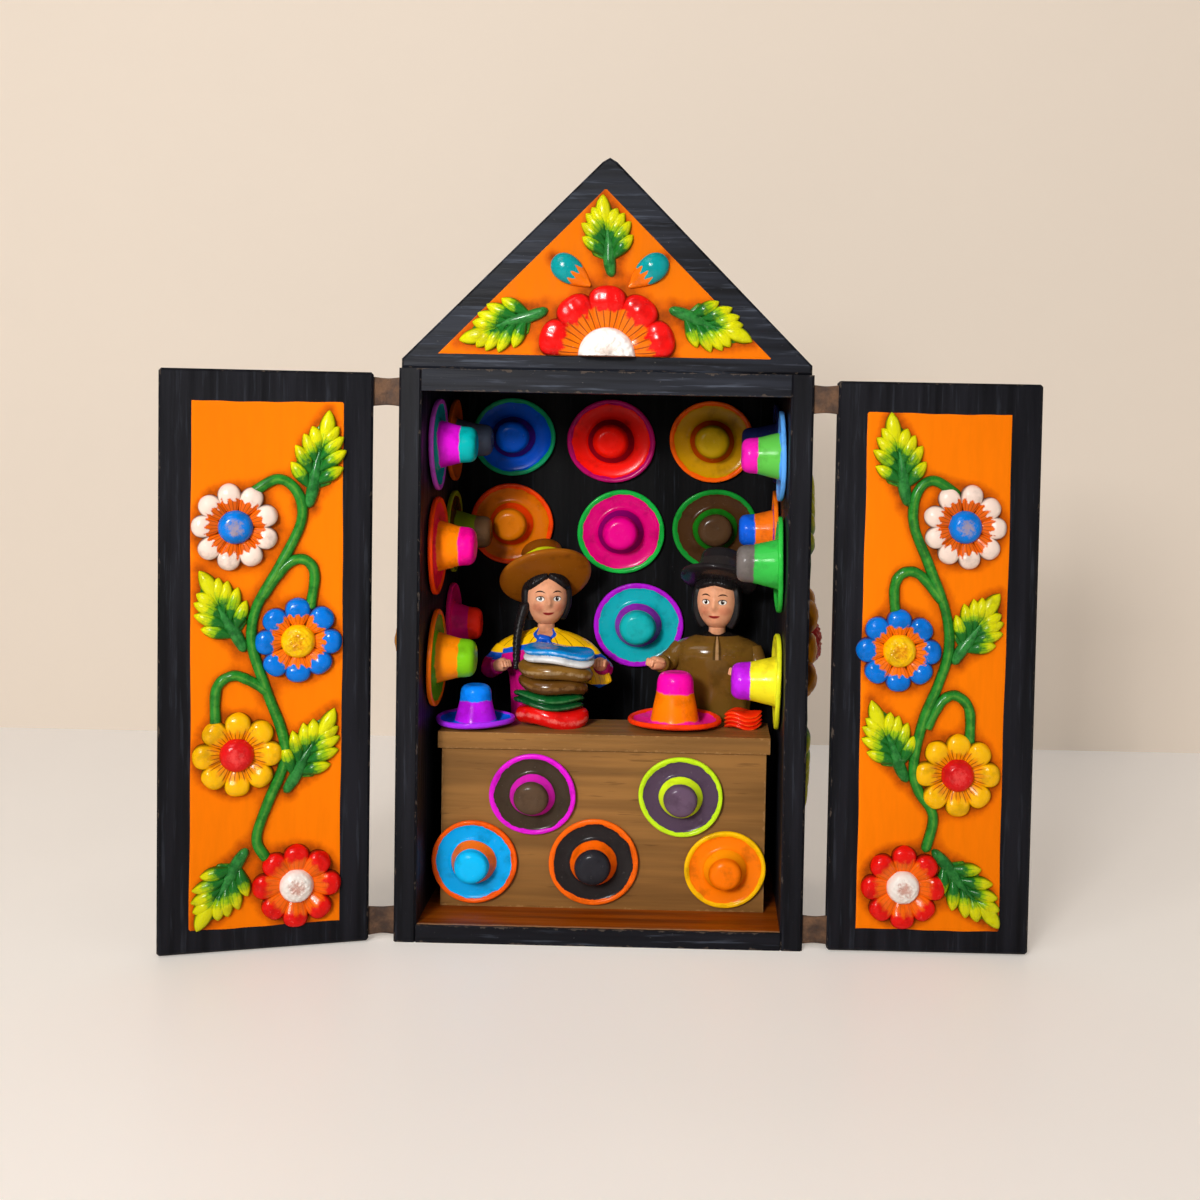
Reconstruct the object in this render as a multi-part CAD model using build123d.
from build123d import *
import os
from math import atan2, cos, degrees, hypot, pi, radians, sin

# A retablo box: a shallow painted case with a pediment and two doors on leather strips. Paste flowers and
# leaves stand on the doors, the pediment and the outer sides, and the niche holds a hat stall.
# Millimetres, +Z up, the front faces -Y, the origin is at the centre of the base.

# Case boards
BOX_WIDTH = 136.0
BODY_HEIGHT = 190.7
SIDE_DEPTH = 74.0
SIDE_THICK = 7.5
TOP_THICK = 7.3
BOTTOM_THICK = 5.8
BACK_THICK = 4.0
EDGE_CHAMFER = 0.8

# Pediment board and its dowels
PEDIMENT_HEIGHT = 70.4
PEDIMENT_THICK = 12.0
PEDIMENT_INSET = 0.8
PEDIMENT_EAVE = 3.0
PEDIMENT_TIP = 2.4
PEDIMENT_TIP_DROP = 1.0
DOWEL_SIDE = 4.0
DOWEL_LENGTH = 11.0
DOWEL_SPACING = 76.0

# Nails with square shanks, and the clearance of every peg and nail in its hole
NAIL_SIDE = 1.3
NAIL_LENGTH = 18.0
NAIL_INSET = 14.0
BACK_NAIL_INSET = 42.0
PEG_CLEARANCE = 0.05

# Doors
DOOR_GAP = 8.0
DOOR_MEETING_GAP = 3.0
DOOR_THICK = 7.5
DOOR_BOTTOM = 0.5
DOOR_TOP_DROP = 1.7
DOOR_FACE_GAP = 0.4
LEFT_DOOR_TURN = 15.5

# Leather strips, each let into a kerf at both ends
STRIP_HEIGHT = 10.0
STRIP_THICK = 1.4
STRIP_TAIL = 5.0
STRIP_DEPTH = 2.2
STRIP_MARGIN = 1.2
STRIP_BEND = 6.0
KERF_CLEARANCE = 0.15
CUT_OVERRUN = 1.0

# Paste flowers
PETALS = 8
WHITE_PETALS = 9
PETAL_SIDES = 8
PETAL_LENGTH = 10.6
PETAL_WIDTH = 8.4
PETAL_HEIGHT = 3.3
PETAL_ROOT = 3.3
PETAL_DRAFT = 20.0
EGG_ROOT = 0.55
EGG_SWELL = 0.75
BUTTON_RADIUS = 5.7
BUTTON_TOP = 4.2
BUTTON_HEIGHT = 4.6
BUTTON_SIDES = 8

# Paste leaves
LOBE_SIDES = 5
LOBE_PAIRS = 3
LOBE_SPREAD = 35.0
LOBE_LENGTH = 12.0
LOBE_WIDTH = 6.9
LEAF_HEIGHT = 2.6
LEAF_DRAFT = 24.0
TIP_LOBE_LENGTH = 15.0
LOBE_START = 0.35
STALK_LENGTH = 7.0
STALK_WIDTH = 1.8
STALK_HEIGHT = 2.2

# Vine on each door
VINE_WIDTH = 3.5
VINE_CROWN = 2.0
VINE_HEIGHT = 1.9

# Places on each door, as distances out from the hinge edge and up from the middle of the door's height
LEFT_FLOWERS = {"white": (42.6, 43.8), "blue": (22.9, 6.7), "yellow": (41.7, -29.8), "red": (22.8, -73.6)}
LEFT_LEAVES = [((20.4, 50.8), (14.0, 81.7)), ((40.3, 4.2), (54.0, 29.8)),
               ((26.8, -42.2), (11.6, -15.7)), ((39.2, -61.4), (54.3, -86.8))]
LEFT_VINE = [(38.2, 55.8), (30.0, 59.2), (23.6, 54.5), (22.6, 45.5), (28.8, 31.8), (36.4, 17.6), (37.6, 5.8),
             (33.2, -8.8), (28.0, -23.4), (27.4, -33.0), (32.6, -46.6), (35.8, -57.6), (32.4, -65.0)]
LEFT_SHOOTS = [[(34.9, 20.8), (27.3, 31.2), (21.8, 33.2), (18.3, 28.6), (19.3, 19.2)],
               [(32.8, -9.6), (37.4, -6.4), (43.4, -4.2), (48.4, -8.2), (48.8, -18.4)]]
RIGHT_FLOWERS = {"white": (41.9, 47.3), "blue": (21.6, 6.3), "yellow": (41.6, -34.4), "red": (24.6, -72.0)}
RIGHT_LEAVES = [((23.2, 54.6), (17.3, 84.4)), ((39.8, 2.8), (54.1, 25.7)),
                ((24.9, -36.4), (12.9, -10.3)), ((36.6, -62.2), (56.2, -83.6))]
RIGHT_VINE = [(38.4, 59.8), (31.4, 62.3), (26.0, 57.8), (25.4, 47.6), (30.6, 34.6), (36.4, 19.5), (37.8, 7.0),
              (34.6, -4.8), (30.0, -16.8), (27.2, -31.6), (29.0, -40.0), (34.0, -48.4), (31.6, -60.6)]
RIGHT_SHOOTS = [[(35.4, 22.6), (27.9, 31.2), (22.6, 32.0), (19.6, 27.4), (20.0, 18.8)],
                [(31.0, -19.6), (35.6, -10.6), (40.4, -8.2), (45.0, -12.8), (45.3, -21.6)]]

# Relief on the pediment, measured from its foot at the middle
HALF_FLOWER_FOOT = 5.0
HALF_FLOWER_PETALS = 5
HALF_PETAL_LENGTH = 14.6
HALF_PETAL_WIDTH = 12.6
HALF_PETAL_ROOT = 8.4
HALF_BUTTON_RADIUS = 10.4
HALF_BUTTON_TOP = 8.3
PEDIMENT_LEAVES = [((1.2, 31.6), (-2.0, 57.4)), ((-20.2, 19.6), (-48.4, 9.4)), ((20.8, 20.2), (47.4, 10.4))]
PEDIMENT_BUDS = [((-5.6, 27.6), (-18.0, 36.6)), ((6.8, 27.4), (19.0, 37.4))]
BUD_WIDTH = 9.2

# Relief on the outer sides, measured from the side's front edge and from the base
SIDE_RELIEF_DEPTH = 38.0
SIDE_RELIEF_HEIGHT = 97.0
SIDE_RELIEF_SCALE = 1.45
SIDE_LEAF_LENGTH = 42.0
SIDE_LEAF_GAP = 20.0

# Counter, set before the figures, and the figures' distance from the back of the niche
FIGURE_CLEAR = 18.0
COUNTER_STAND = 38.0
COUNTER_SIDE_GAP = 3.5
COUNTER_REACH = 24.0
COUNTER_TOP_HEIGHT = 66.7
COUNTER_TOP_THICK = 5.6
COUNTER_OVERHANG = 1.5
COUNTER_PANEL_THICK = 4.0
COUNTER_PANEL_INSET = 1.2

# Hats: number of sides, brim, and the crown's foot, top and rounding as shares of the brim
HAT_SIDES = 10
BRIM_THICK = 1.6
BRIM_SLOPE = 0.5
CROWN_FOOT = 0.48
CROWN_TOP = 0.405
CROWN_SHOULDER = 0.11

# Hats hang in columns and rows: their pitches as shares of the niche's half width, of its height over the
# counter, of its depth and of the counter panel's height, and the gap between two brims
COLUMN_SHARE = 0.588
ROW_SHARE = 0.285
DEPTH_SHARE = 0.45
PANEL_SHARE = 0.57
HAT_GAP = 0.6

# Hats on the back wall as (column, row over the counter, brim in rooms, hat height in rooms)
BACK_HATS = {"blue": (-1.11, 3.01, 0.97, 0.55), "red": (-0.07, 2.98, 1.03, 0.67),
             "ochre": (1.0, 3.0, 1.0, 0.67), "orange": (-1.12, 2.02, 0.99, 0.55),
             "pink": (0.05, 1.95, 1.03, 0.67), "brown": (1.05, 2.0, 1.0, 0.53),
             "teal": (0.25, 0.89, 1.05, 0.73)}

# Hats on the counter front as (column, row over the bottom board, brim and hat height in panel rooms)
COUNTER_HATS = {"purple": (-0.68, 1.26, 0.97, 0.58), "lime": (0.75, 1.27, 0.95, 0.58),
                "sky": (-1.24, 0.51, 0.98, 0.65), "black": (-0.08, 0.53, 1.02, 0.65),
                "orange": (1.19, 0.48, 0.92, 0.58)}

# Hats on the side walls as (place in depth, row over the counter, brim and hat height in rooms)
LEFT_HATS = [(0.74, 2.96, 0.97, 0.89), (0.74, 1.9, 1.05, 0.89), (0.75, 0.73, 1.05, 0.92),
             (1.74, 2.98, 0.94, 0.92), (1.74, 1.96, 0.94, 0.92), (1.74, 0.94, 0.92, 0.73)]
RIGHT_HATS = [(0.74, 2.9, 0.96, 0.92), (0.75, 1.78, 1.03, 0.98), (0.75, 0.55, 1.03, 1.04),
              (1.74, 3.0, 0.92, 0.86), (1.74, 2.04, 0.92, 0.88)]

# Hats lying on the counter as (share of its half width, share of its reach behind its front edge, brim and
# hat height in rooms)
LYING_HATS = {"violet": (-0.805, 0.46, 0.85, 0.87), "magenta": (0.42, 0.7, 1.02, 1.16)}
TURNED_UP_RISE = 1.6
TURNED_UP_FOOT = 0.65

# Pile of folded felts as (share of the counter's half width, share of its reach, half width and thickness in
# rooms), from the bottom up, and the small red pile
FELT_PILE = [(-0.335, 0.62, 0.81, 0.4), (-0.36, 0.61, 0.78, 0.32), (-0.34, 0.62, 0.77, 0.31),
             (-0.325, 0.61, 0.82, 0.31), (-0.3, 0.62, 0.78, 0.34)]
RED_PILE = (0.845, 0.67, 0.42, 0.37)
FELT_ASPECT = 0.72
FELT_SIDES = 8
FELT_EDGE = 1.5
FELT_FLAT = 0.3

# Figures: where they stand as shares of the niche's half width, and their bodies as (half width, height over
# the counter) from below the counter's top up to the shoulders
WOMAN_SHARE = -0.403
MAN_SHARE = 0.638
FIGURE_SIDES = 8
SHOULDER_RISE = 29.7
NECK_FOOT = 4.4
BODY_FOOT = 12.0
BODY_ASPECT = 0.52
WOMAN_RINGS = [(12.0, -5.0), (13.0, 13.0), (19.8, 19.0), (19.2, 23.6), (13.8, 27.6)]
MAN_RINGS = [(12.0, -5.0), (13.6, 13.0), (17.2, 22.4), (14.0, 27.2)]

# Arms by shoulder, elbow, wrist and where the hand points, and the braid, as (across from the figure's
# middle, forward, height over the counter)
WOMAN_ARMS = [[(-15.0, 2.0, 22.3), (-19.6, 6.0, 16.6), (-16.1, 10.5, 18.1), (-12.0, 14.4, 19.6)],
              [(15.0, 2.0, 22.3), (21.4, 6.0, 17.0), (21.2, 10.5, 19.0), (20.8, 15.0, 20.4)]]
MAN_ARMS = [[(-13.0, 1.0, 24.3), (-18.5, 4.0, 19.0), (-20.2, 9.0, 19.7), (-25.4, 12.0, 20.7)],
            [(13.0, 1.0, 24.3), (16.0, 5.0, 15.8), (9.6, 11.0, 17.3), (4.0, 14.5, 18.3)]]
BRAID = [(-8.0, 4.4, 38.5), (-9.6, 7.4, 29.5), (-9.8, 10.4, 18.5)]
SLEEVE_RADIUS = 3.4
CUFF_RADIUS = 3.0
LIMB_SIDES = 6
BRAID_RADIUS = 1.9
BRAID_END = 1.1

# A closed hand as shares of its radius and its length
HAND_LENGTH = 6.4
HAND_RADIUS = 2.7
HAND_RINGS = [(0.7, 0.0), (1.0, 0.4), (0.8, 0.8), (0.4, 1.0)]

# Heads, by the latitudes of their rings, and hair
HEAD_RADIUS = 6.9
HEAD_HEIGHT = 18.0
HEAD_STEPS = [-76, -42, -4, 38, 74]
HEAD_FULLNESS = 0.08
NECK_RADIUS = 3.1
NECK_LENGTH = 2.3
HAIR_THICK = 1.5
HAIR_FRONT = 2.0
WOMAN_FRINGE = 14.4
WOMAN_FALL = 3.0
MAN_FRINGE = 13.6
MAN_FALL = 1.4

# Hats that the figures wear, as (brim, hat height, seat over the head's middle, tilt back, lean to the side)
WOMAN_HAT = (16.8, 15.5, 6.1, 42.0, -12.0)
MAN_HAT = (14.0, 13.0, 6.0, 30.0, 8.0)
WORN_HAT_FORWARD = 2.0
WORN_CROWN = 9.2
WORN_CROWN_TOP = 7.2
WORN_SHOULDER = 1.8

# Places that follow from the sizes above
FRONT = -(SIDE_DEPTH + BACK_THICK) / 2
BACK_FACE = FRONT + SIDE_DEPTH
HALF_WIDTH = BOX_WIDTH / 2
NICHE_HALF = HALF_WIDTH - SIDE_THICK
NICHE_TOP = BODY_HEIGHT - TOP_THICK
DOOR_WIDTH = (BOX_WIDTH - DOOR_MEETING_GAP) / 2
DOOR_TOP = BODY_HEIGHT - DOOR_TOP_DROP
DOOR_MIDDLE = (DOOR_BOTTOM + DOOR_TOP) / 2
HINGE_EDGE = HALF_WIDTH + DOOR_GAP
AXIS_X = HALF_WIDTH + DOOR_GAP / 2
AXIS_Y = FRONT - DOOR_FACE_GAP / 2
STRIP_Y = FRONT + STRIP_DEPTH
STRIP_FEET = [DOOR_BOTTOM + STRIP_MARGIN, DOOR_TOP - STRIP_MARGIN - STRIP_HEIGHT]
FRONT_PLANE = Plane(origin=(0, FRONT, 0), x_dir=(1, 0, 0), z_dir=(0, -1, 0))
FIGURE_Y = BACK_FACE - FIGURE_CLEAR
COUNTER_EDGE = FIGURE_Y - COUNTER_STAND
COUNTER_FACE = COUNTER_EDGE + COUNTER_OVERHANG
COUNTER_HALF = NICHE_HALF - COUNTER_SIDE_GAP
COUNTER_PANEL_TOP = COUNTER_TOP_HEIGHT - COUNTER_TOP_THICK
COUNTER_PANEL_HALF = COUNTER_HALF - COUNTER_PANEL_INSET
COLUMN_PITCH = COLUMN_SHARE * NICHE_HALF
ROW_PITCH = ROW_SHARE * (NICHE_TOP - COUNTER_TOP_HEIGHT)
DEPTH_PITCH = DEPTH_SHARE * SIDE_DEPTH
PANEL_PITCH = PANEL_SHARE * (COUNTER_PANEL_TOP - BOTTOM_THICK)
HAT_ROOM = (min(COLUMN_PITCH, ROW_PITCH, DEPTH_PITCH) - HAT_GAP) / 2
PANEL_ROOM = (min(COLUMN_PITCH, PANEL_PITCH) - HAT_GAP) / 2
SHOULDER_TOP = COUNTER_TOP_HEIGHT + SHOULDER_RISE
CHIN = SHOULDER_TOP + NECK_LENGTH
HEAD_MIDDLE = CHIN + HEAD_HEIGHT / 2


def block(x0, x1, y0, y1, z0, z1):
    """A board between two corners."""
    return Pos(x0, y0, z0) * Box(x1 - x0, y1 - y0, z1 - z0, align=(Align.MIN, Align.MIN, Align.MIN))


def turned(rings, sides, aspect=1.0):
    """A faceted solid through level rings, each given as (radius, height) or (radius, height, x, y)."""
    levels = []
    for radius, height, *shift in rings:
        across, along = shift or (0.0, 0.0)
        level = []
        for i in range(sides):
            turn = 2 * pi * i / sides
            level.append((across + radius * cos(turn), along + aspect * radius * sin(turn), height))
        levels.append(level)
    faces = [Face(Wire.make_polygon(levels[0])), Face(Wire.make_polygon(levels[-1]))]
    for low, high in zip(levels, levels[1:]):
        for i in range(sides):
            j = (i + 1) % sides
            faces.append(Face(Wire.make_polygon([low[i], low[j], high[j], high[i]])))
    return Solid(Shell(faces))


def between(start, end, start_radius, end_radius, sides):
    """A tapered limb from one point to another."""
    axis = Vector(*end) - Vector(*start)
    limb = turned([(start_radius, 0), (end_radius, axis.length)], sides)
    return Plane(origin=start, z_dir=axis) * limb


def fused(solids):
    """The solids joined to one."""
    return solids[0].fuse(*solids[1:])


# Case

def notched(piece, cutters):
    """A piece with the given shapes cut out of it."""
    for cutter in cutters:
        piece = piece - cutter
    return piece


def peg(x, y, z, size_x, size_y, size_z, grow):
    """A square peg about its middle, or with grow the hole that it sits in."""
    return Pos(x, y, z) * Box(size_x + 2 * grow, size_y + 2 * grow, size_z + 2 * grow)


def nails(grow):
    """Nails through the sides into the top and bottom boards, and through the back into the sides."""
    out = []
    for side in (-1, 1):
        x = side * (HALF_WIDTH - NAIL_LENGTH / 2)
        for z in (BOTTOM_THICK / 2, BODY_HEIGHT - TOP_THICK / 2):
            for y in (FRONT + NAIL_INSET, BACK_FACE - NAIL_INSET):
                out.append(peg(x, y, z, NAIL_LENGTH, NAIL_SIDE, NAIL_SIDE, grow))
        x = side * (HALF_WIDTH - SIDE_THICK / 2)
        y = BACK_FACE + BACK_THICK - NAIL_LENGTH / 2
        for z in (BACK_NAIL_INSET, BODY_HEIGHT - BACK_NAIL_INSET):
            out.append(peg(x, y, z, NAIL_SIDE, NAIL_LENGTH, NAIL_SIDE, grow))
    return out


def dowels(grow):
    """Two dowels half in the pediment and half in the top board."""
    y = FRONT + PEDIMENT_THICK / 2
    x = DOWEL_SPACING / 2
    return [peg(side * x, y, BODY_HEIGHT, DOWEL_SIDE, DOWEL_SIDE, DOWEL_LENGTH, grow) for side in (-1, 1)]


def strip_line(side, turn):
    """A leather strip's middle line seen from above, from its tail in the box to its tail in the door."""
    axis = Vector(side * AXIS_X, AXIS_Y)
    swing = -side * radians(turn)
    along = Vector(side, 0).rotate(Axis.Z, degrees(swing))
    back = Vector(0, STRIP_Y - AXIS_Y).rotate(Axis.Z, degrees(swing))
    box_end = Vector(side * (HALF_WIDTH - STRIP_TAIL), STRIP_Y)
    door_end = axis + along * (DOOR_GAP / 2 + STRIP_TAIL) + back
    if turn == 0:
        return Line(box_end, door_end)
    reach = (STRIP_Y - door_end.Y) / along.Y
    corner = door_end + along * reach
    return FilletPolyline(box_end, corner, door_end, radius=STRIP_BEND)


def strips(side, turn):
    """The two leather strips of one door."""
    line = strip_line(side, turn)
    start = Plane(origin=line @ 0, x_dir=(0, 0, 1), z_dir=line % 0)
    out = []
    for foot in STRIP_FEET:
        section = start * Rectangle(STRIP_HEIGHT, STRIP_THICK)
        out.append(Pos(0, 0, foot + STRIP_HEIGHT / 2) * sweep(section, path=line))
    return out


def kerfs(edge_x, inward):
    """Kerfs for the strips' tails, cut inward from an upright edge."""
    far = edge_x + inward * (STRIP_TAIL + KERF_CLEARANCE)
    half = STRIP_THICK / 2 + KERF_CLEARANCE
    x0, x1 = sorted((edge_x - inward * CUT_OVERRUN, far))
    return [block(x0, x1, STRIP_Y - half, STRIP_Y + half, foot - KERF_CLEARANCE,
                  foot + STRIP_HEIGHT + KERF_CLEARANCE) for foot in STRIP_FEET]


def case_boards():
    """The six boards of the case, with their nail holes and kerfs."""
    holes = nails(PEG_CLEARANCE)
    sockets = dowels(PEG_CLEARANCE)
    out = {}
    for name, side in (("left", -1), ("right", 1)):
        x0, x1 = sorted((side * NICHE_HALF, side * HALF_WIDTH))
        board = block(x0, x1, FRONT, BACK_FACE, 0, BODY_HEIGHT)
        board = chamfer(board.edges().filter_by(Axis.Z).group_by(Axis.Y)[0], EDGE_CHAMFER)
        out[name + "_side_board"] = notched(board, holes + kerfs(side * HALF_WIDTH, -side))
    top = block(-NICHE_HALF, NICHE_HALF, FRONT, BACK_FACE, NICHE_TOP, BODY_HEIGHT)
    out["top_board"] = notched(top, holes + sockets)
    bottom = block(-NICHE_HALF, NICHE_HALF, FRONT, BACK_FACE, 0, BOTTOM_THICK)
    out["bottom_board"] = notched(bottom, holes)
    back = block(-HALF_WIDTH, HALF_WIDTH, BACK_FACE, BACK_FACE + BACK_THICK, 0, BODY_HEIGHT)
    out["back_board"] = notched(back, holes)
    half = HALF_WIDTH - PEDIMENT_INSET
    tip = PEDIMENT_TIP
    peak = PEDIMENT_HEIGHT
    slope = (peak - PEDIMENT_EAVE) / half
    shoulder = peak - tip * slope
    outline = Polyline((-half, 0), (half, 0), (half, PEDIMENT_EAVE), (tip, shoulder),
                       (0, peak - PEDIMENT_TIP_DROP), (-tip, shoulder), (-half, PEDIMENT_EAVE), close=True)
    ground = FRONT_PLANE.offset(-PEDIMENT_THICK) * Pos(0, BODY_HEIGHT)
    gable = extrude(make_face(ground * outline), PEDIMENT_THICK)
    front_edges = gable.faces().sort_by(Axis.Y)[0].edges()
    out["pediment_board"] = notched(chamfer(front_edges, EDGE_CHAMFER), sockets)
    return out


# Paste relief, drawn on a level ground with its height along Z

def egg(length, width, sides):
    """A petal outline from its root at the origin: x = L (1 - cos t) / 2, fuller towards the round end."""
    points = []
    for i in range(sides):
        turn = 2 * pi * (i + 0.5) / sides
        x = length * (1 - cos(turn)) / 2
        points.append((x, -width / 2 * sin(turn) * (EGG_ROOT + EGG_SWELL * x / length)))
    return make_face(Polyline(*points, close=True))


def petal_ring(count, first, step, root, length, width, height):
    """Petals set round a middle, from one bearing on."""
    petal = extrude(egg(length, width, PETAL_SIDES), amount=height, taper=PETAL_DRAFT)
    return [Rot(0, 0, first + step * i) * Pos(root, 0, 0) * petal for i in range(count)]


def flower(petals=PETALS, scale=1.0):
    """A round flower: petals about a raised button."""
    width = PETAL_WIDTH * scale * PETALS / petals
    ring = petal_ring(petals, 0, 360 / petals, PETAL_ROOT * scale, PETAL_LENGTH * scale, width,
                      PETAL_HEIGHT * scale)
    button = turned([(BUTTON_RADIUS * scale, 0), (BUTTON_RADIUS * scale, PETAL_HEIGHT * scale),
                     (BUTTON_TOP * scale, BUTTON_HEIGHT * scale)], BUTTON_SIDES)
    return fused(ring + [button])


def leaf(length, scale=1.0):
    """A leaf along +X from its stalk: pairs of lobes that lean forward, and one lobe at the tip."""
    high = LEAF_HEIGHT * scale
    wide = LOBE_WIDTH * scale
    lobe = extrude(egg(LOBE_LENGTH * scale, wide, LOBE_SIDES), amount=high, taper=LEAF_DRAFT)
    tip_length = TIP_LOBE_LENGTH * scale
    tip = extrude(egg(tip_length, wide, LOBE_SIDES), amount=high, taper=LEAF_DRAFT)
    lobes = [Pos(length - tip_length, 0, 0) * tip]
    step = (length - tip_length) / LOBE_PAIRS
    for i in range(LOBE_PAIRS):
        for side in (-1, 1):
            lobes.append(Pos(step * (i + LOBE_START), 0, 0) * Rot(0, 0, side * LOBE_SPREAD) * lobe)
    size = (STALK_LENGTH * scale, STALK_WIDTH * scale, STALK_HEIGHT * scale)
    stalk = Box(*size, align=(Align.MIN, Align.CENTER, Align.MIN))
    return fused(lobes + [stalk])


def laid_leaf(stalk, tip):
    """A leaf from its stalk's foot to its tip, both places on the ground."""
    run = (tip[0] - stalk[0], tip[1] - stalk[1])
    return Pos(*stalk) * Rot(0, 0, degrees(atan2(run[1], run[0]))) * leaf(hypot(*run))


def runner(points):
    """A half-round vine on a smooth curve through the points."""
    path = Spline(*points)
    half = VINE_WIDTH / 2
    crown = VINE_CROWN / 2
    outline = Polyline((-half, 0), (half, 0), (crown, VINE_HEIGHT), (-crown, VINE_HEIGHT), close=True)
    heading = path % 0
    start = Plane(origin=path @ 0, x_dir=Vector(0, 0, 1).cross(heading), z_dir=heading)
    return sweep(start * make_face(outline), path=path)


def door_relief(side, flowers, leaves, vine, shoots):
    """All paste on one door, flat open, as a dictionary of groups of solids."""
    def place(spot):
        return side * (HINGE_EDGE + spot[0]), DOOR_MIDDLE + spot[1]

    out = {}
    for colour, spot in flowers.items():
        petals = WHITE_PETALS if colour == "white" else PETALS
        out[colour + "_flower"] = [Pos(*place(spot)) * flower(petals)]
    blooms = [group[0] for group in out.values()]
    out["leaves"] = [notched(laid_leaf(place(stalk), place(tip)), blooms) for stalk, tip in leaves]
    stem = fused([runner([place(p) for p in route]) for route in [vine] + shoots])
    out["vine"] = notched(stem, blooms + out["leaves"]).solids()
    return {name: [FRONT_PLANE * solid for solid in group] for name, group in out.items()}


def doors():
    """Both doors with their paste relief. The left one stands a little forward of flat."""
    out = {}
    for name, side, flowers, leaves, vine, shoots in (
            ("left", -1, LEFT_FLOWERS, LEFT_LEAVES, LEFT_VINE, LEFT_SHOOTS),
            ("right", 1, RIGHT_FLOWERS, RIGHT_LEAVES, RIGHT_VINE, RIGHT_SHOOTS)):
        x0, x1 = sorted((side * HINGE_EDGE, side * (HINGE_EDGE + DOOR_WIDTH)))
        board = block(x0, x1, FRONT, FRONT + DOOR_THICK, DOOR_BOTTOM, DOOR_TOP)
        board = chamfer(board.edges(), EDGE_CHAMFER)
        group = {"door_board": [notched(board, kerfs(side * HINGE_EDGE, side))]}
        for piece, solids in door_relief(side, flowers, leaves, vine, shoots).items():
            group["door_" + piece] = solids
        for piece, solids in group.items():
            if side < 0:
                pivot = Axis((-AXIS_X, AXIS_Y, 0), (0, 0, 1))
                solids = [solid.rotate(pivot, LEFT_DOOR_TURN) for solid in solids]
            out[name + "_" + piece] = solids
    return out


def pediment_relief():
    """Half a flower, three leaves and two buds on the pediment."""
    sweep_angle = 180 / HALF_FLOWER_PETALS
    petals = petal_ring(HALF_FLOWER_PETALS, sweep_angle / 2, sweep_angle, HALF_PETAL_ROOT, HALF_PETAL_LENGTH,
                        HALF_PETAL_WIDTH, PETAL_HEIGHT)
    button = turned([(HALF_BUTTON_RADIUS, 0), (HALF_BUTTON_RADIUS, PETAL_HEIGHT),
                     (HALF_BUTTON_TOP, BUTTON_HEIGHT)], 2 * BUTTON_SIDES)
    bloom = fused(petals + [button])
    reach = HALF_PETAL_ROOT + HALF_PETAL_LENGTH + HALF_BUTTON_RADIUS
    bloom = bloom - block(-reach, reach, -reach, 0, -CUT_OVERRUN, BUTTON_HEIGHT + CUT_OVERRUN)
    buds = []
    for root, end in PEDIMENT_BUDS:
        run = (end[0] - root[0], end[1] - root[1])
        bud = extrude(egg(hypot(*run), BUD_WIDTH, PETAL_SIDES), amount=PETAL_HEIGHT, taper=PETAL_DRAFT)
        buds.append(Pos(*root) * Rot(0, 0, degrees(atan2(run[1], run[0]))) * bud)
    groups = {
        "pediment_flower": [Pos(0, HALF_FLOWER_FOOT) * bloom],
        "pediment_leaves": [laid_leaf(stalk, tip) for stalk, tip in PEDIMENT_LEAVES],
        "pediment_buds": buds,
    }
    foot = Pos(0, BODY_HEIGHT)
    return {name: [FRONT_PLANE * foot * solid for solid in group] for name, group in groups.items()}


def side_relief():
    """A large flower between two leaves on each outer side."""
    out = {}
    for name, side in (("left", -1), ("right", 1)):
        ground = Plane(origin=(side * HALF_WIDTH, FRONT + SIDE_RELIEF_DEPTH, SIDE_RELIEF_HEIGHT),
                       x_dir=(0, 0, 1), z_dir=(side, 0, 0))
        solids = [ground * flower(PETALS, SIDE_RELIEF_SCALE)]
        for bearing in (0, 180):
            leaf_solid = leaf(SIDE_LEAF_LENGTH, SIDE_RELIEF_SCALE)
            solids.append(ground * Rot(0, 0, bearing) * Pos(SIDE_LEAF_GAP, 0, 0) * leaf_solid)
        out[name + "_side_relief"] = solids
    return out


# Stall

def counter():
    """Counter top on a front panel and two ends."""
    back = COUNTER_EDGE + COUNTER_REACH
    panel_back = COUNTER_FACE + COUNTER_PANEL_THICK
    panel = COUNTER_PANEL_HALF
    top = block(-COUNTER_HALF, COUNTER_HALF, COUNTER_EDGE, back, COUNTER_PANEL_TOP, COUNTER_TOP_HEIGHT)
    front = block(-panel, panel, COUNTER_FACE, panel_back, BOTTOM_THICK, COUNTER_PANEL_TOP)
    ends = []
    for side in (-1, 1):
        x0, x1 = sorted((side * panel, side * (panel - COUNTER_PANEL_THICK)))
        ends.append(block(x0, x1, panel_back, back - COUNTER_OVERHANG, BOTTOM_THICK, COUNTER_PANEL_TOP))
    return {"counter_top": [top], "counter_front": [front], "counter_ends": ends}


def hat(brim, height):
    """A hat that stands on its brim, its crown up."""
    edge = [(brim, 0), (brim, BRIM_THICK)]
    return crowned(edge, height, CROWN_FOOT * brim, CROWN_TOP * brim, CROWN_SHOULDER * brim)


def turned_up_hat(brim, height):
    """A hat whose brim rises from a flat foot to its edge."""
    edge = [(TURNED_UP_FOOT * brim, 0), (brim, TURNED_UP_RISE), (brim, TURNED_UP_RISE + BRIM_THICK)]
    return crowned(edge, height, CROWN_FOOT * brim, CROWN_TOP * brim, CROWN_SHOULDER * brim)


def crowned(brim_rings, height, foot, top, shoulder):
    """A brim with a tapered crown, rounded off at its top."""
    crown_rings = [(foot, BRIM_THICK + BRIM_SLOPE), (top, height - shoulder), (top - shoulder, height)]
    return turned(brim_rings + crown_rings, HAT_SIDES)


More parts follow.
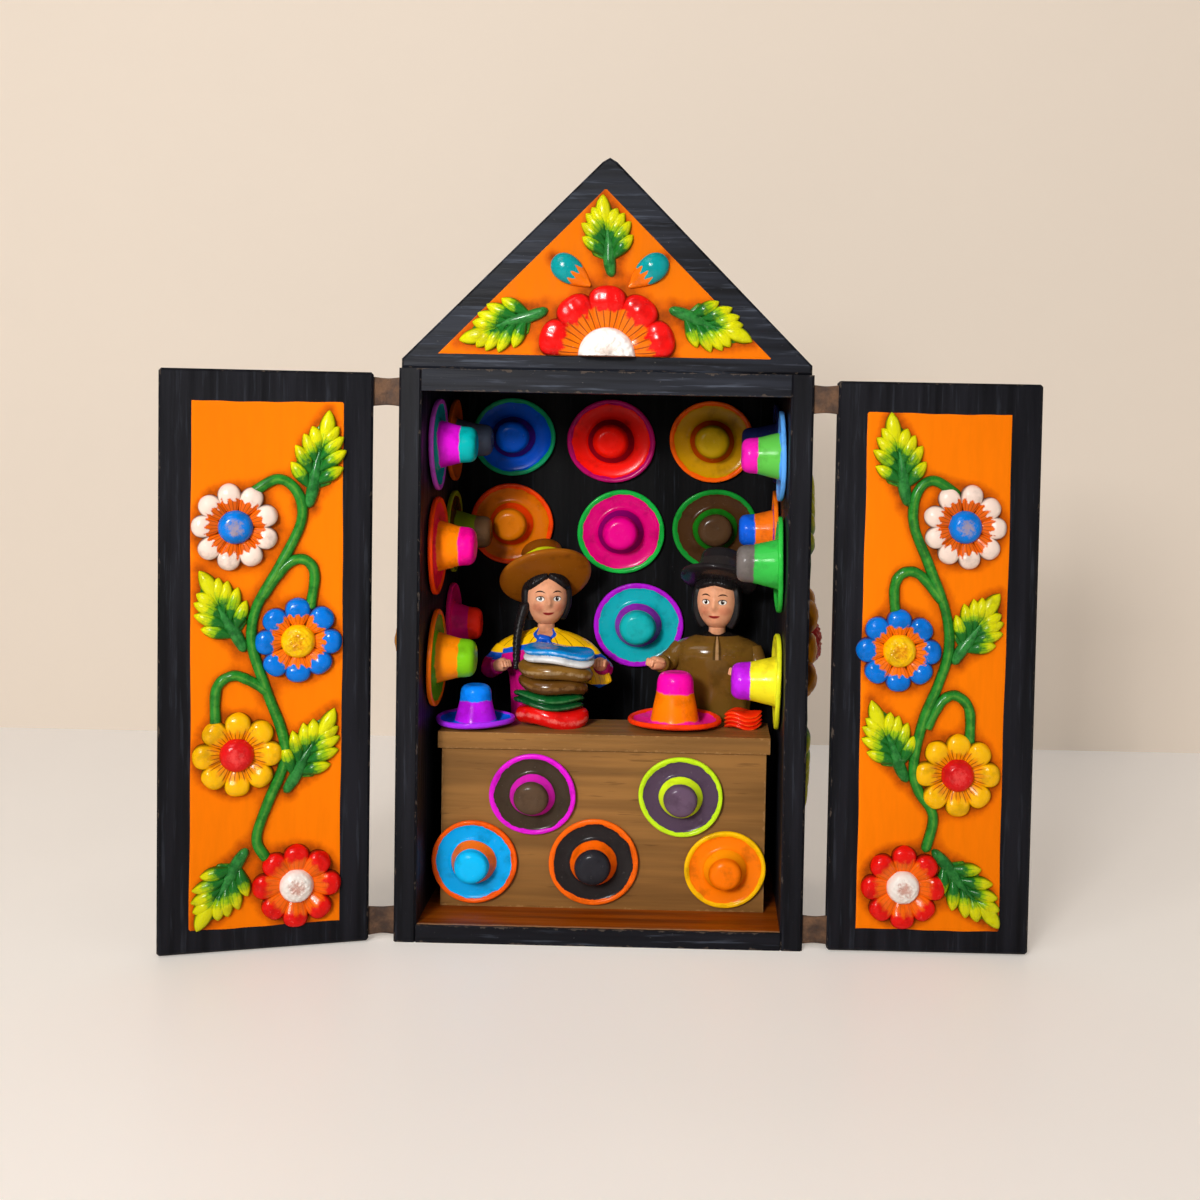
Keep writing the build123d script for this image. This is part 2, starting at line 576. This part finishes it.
def hats():
    """Hats on the back wall, the counter front, the side walls and the counter top."""
    out = {}
    for colour, (column, row, brim, height) in BACK_HATS.items():
        place = (column * COLUMN_PITCH, BACK_FACE, COUNTER_TOP_HEIGHT + row * ROW_PITCH)
        shape = hat(brim * HAT_ROOM, height * HAT_ROOM)
        out["back_hat_" + colour] = [Plane(origin=place, x_dir=(1, 0, 0), z_dir=(0, -1, 0)) * shape]
    for colour, (column, row, brim, height) in COUNTER_HATS.items():
        place = (column * COLUMN_PITCH, COUNTER_FACE, BOTTOM_THICK + row * PANEL_PITCH)
        shape = hat(brim * PANEL_ROOM, height * PANEL_ROOM)
        out["counter_hat_" + colour] = [Plane(origin=place, x_dir=(1, 0, 0), z_dir=(0, -1, 0)) * shape]
    for name, side, rows in (("left_wall_hats", -1, LEFT_HATS), ("right_wall_hats", 1, RIGHT_HATS)):
        out[name] = []
        for depth, row, brim, height in rows:
            place = (side * NICHE_HALF, FRONT + depth * DEPTH_PITCH, COUNTER_TOP_HEIGHT + row * ROW_PITCH)
            shape = hat(brim * HAT_ROOM, height * HAT_ROOM)
            out[name].append(Plane(origin=place, x_dir=(0, 0, 1), z_dir=(-side, 0, 0)) * shape)
    for colour, (share, behind, brim, height) in LYING_HATS.items():
        shape = turned_up_hat(brim * HAT_ROOM, height * HAT_ROOM)
        out["lying_hat_" + colour] = [on_counter(share, behind) * shape]
    return out


def on_counter(share, behind):
    """A place on the counter's top."""
    return Pos(share * COUNTER_HALF, COUNTER_EDGE + behind * COUNTER_REACH, COUNTER_TOP_HEIGHT)


def felt(share, behind, half_width, thick, level):
    """One folded felt: an oval slab with soft edges, at a level over the counter."""
    wide = half_width * HAT_ROOM
    high = thick * HAT_ROOM
    low = high * (1 - FELT_FLAT) / 2
    rings = [(wide - FELT_EDGE, 0), (wide, low), (wide, high - low), (wide - FELT_EDGE, high)]
    return on_counter(share, behind) * Pos(0, 0, level) * turned(rings, FELT_SIDES, FELT_ASPECT)


def piles():
    """The pile of felts before the woman, and the small red pile before the man."""
    stack = []
    level = 0.0
    for entry in FELT_PILE:
        stack.append(felt(*entry, level))
        level += entry[-1] * HAT_ROOM
    return {"felt_pile": stack, "red_pile": [felt(*RED_PILE, 0.0)]}


# Figures

def head_rings(grow):
    """Rings of an egg-shaped head from the chin up, grown outwards evenly."""
    rings = []
    for step in HEAD_STEPS:
        rise = sin(radians(step))
        radius = HEAD_RADIUS * cos(radians(step)) * (1 + HEAD_FULLNESS * rise)
        rings.append((radius + grow, HEAD_MIDDLE + (HEAD_HEIGHT / 2 + grow) * rise))
    return rings


def figure_head(x):
    """Head and neck of a figure."""
    skull = turned(head_rings(0), FIGURE_SIDES)
    neck = turned([(NECK_RADIUS, SHOULDER_TOP), (NECK_RADIUS, HEAD_MIDDLE)], FIGURE_SIDES)
    return Pos(x, FIGURE_Y, 0) * skull.fuse(neck)


def hair_bulk(x):
    """Head and hair as one smooth mass."""
    return Pos(x, FIGURE_Y, 0) * turned(head_rings(HAIR_THICK), FIGURE_SIDES)


def hair_cap(x, head, fringe, fall):
    """Hair round the head: open before the face below the fringe, and down to the fall line elsewhere."""
    reach = HEAD_RADIUS + 2 * HAIR_THICK
    face = block(x - reach, x + reach, FIGURE_Y - reach, FIGURE_Y - HAIR_FRONT, 0, CHIN + fringe)
    below = block(x - reach, x + reach, FIGURE_Y - reach, FIGURE_Y + reach, 0, CHIN + fall)
    return notched(hair_bulk(x), [head, face, below])


def worn_hat(x, brim, height, seat, tilt, lean):
    """A hat on the hair, tipped back and to the side."""
    shape = crowned([(brim, 0), (brim, BRIM_THICK)], height, WORN_CROWN, WORN_CROWN_TOP, WORN_SHOULDER)
    placed = Pos(x, FIGURE_Y - WORN_HAT_FORWARD, HEAD_MIDDLE + seat) * Rot(-tilt, lean, 0) * shape
    return (placed - hair_bulk(x)).solids().sort_by(SortBy.VOLUME)[-1]


def limb(points, radii):
    """A bent sleeve or braid through its points."""
    runs = zip(points, points[1:], radii, radii[1:])
    return fused([between(a, b, ra, rb, LIMB_SIDES) for a, b, ra, rb in runs])


def hand(wrist, tip):
    """A closed hand that follows on from its cuff."""
    shape = turned([(HAND_RADIUS * wide, HAND_LENGTH * along) for wide, along in HAND_RINGS], LIMB_SIDES)
    return Plane(origin=wrist, z_dir=Vector(*tip) - Vector(*wrist)) * shape


def figure(name, x, rings, arms, fringe, fall, hat_size, braid):
    """One figure as body, head, hair, hat and hands."""
    def place(spot):
        return x + spot[0], FIGURE_Y - spot[1], COUNTER_TOP_HEIGHT + spot[2]

    levels = [(radius, COUNTER_TOP_HEIGHT + rise) for radius, rise in rings]
    levels = [(BODY_FOOT, BOTTOM_THICK)] + levels + [(NECK_FOOT, SHOULDER_TOP)]
    body = Pos(x, FIGURE_Y, 0) * turned(levels, FIGURE_SIDES, BODY_ASPECT)
    hands = []
    for arm in arms:
        shoulder, elbow, wrist, tip = [place(spot) for spot in arm]
        body = body.fuse(limb((shoulder, elbow, wrist), (SLEEVE_RADIUS, SLEEVE_RADIUS, CUFF_RADIUS)))
        hands.append(hand(wrist, tip))
    head = figure_head(x)
    strands = [hair_cap(x, head, fringe, fall)]
    if braid:
        plait = limb([place(spot) for spot in braid], (BRAID_RADIUS, BRAID_RADIUS, BRAID_END))
        strands.append(notched(plait, [head, strands[0], body]))
    hair = []
    for strand in strands:
        hair += strand.solids()
    hands = [notched(piece, [body]) for piece in hands]
    return {name + "_body": body.solids(), name + "_head": [head], name + "_hair": hair,
            name + "_hat": [worn_hat(x, *hat_size)], name + "_hands": hands}


def figures():
    """The woman in her shawl behind the felts, and the man beside her."""
    woman = figure("woman", WOMAN_SHARE * NICHE_HALF, WOMAN_RINGS, WOMAN_ARMS, WOMAN_FRINGE, WOMAN_FALL,
                   WOMAN_HAT, BRAID)
    man = figure("man", MAN_SHARE * NICHE_HALF, MAN_RINGS, MAN_ARMS, MAN_FRINGE, MAN_FALL, MAN_HAT, None)
    return {**woman, **man}


def model():
    """Every node's solids by name."""
    nodes = {name: [board] for name, board in case_boards().items()}
    nodes["case_nails"] = nails(0)
    nodes["pediment_dowels"] = dowels(0)
    nodes["left_door_strips"] = strips(-1, LEFT_DOOR_TURN)
    nodes["right_door_strips"] = strips(1, 0)
    for group in (doors(), pediment_relief(), side_relief(), counter(), hats(), piles(), figures()):
        nodes.update(group)
    return nodes


os.makedirs("parts", exist_ok=True)
for node, solids in model().items():
    shape = solids[0] if len(solids) == 1 else Compound(children=list(solids))
    export_step(shape, f"parts/{node}.step")
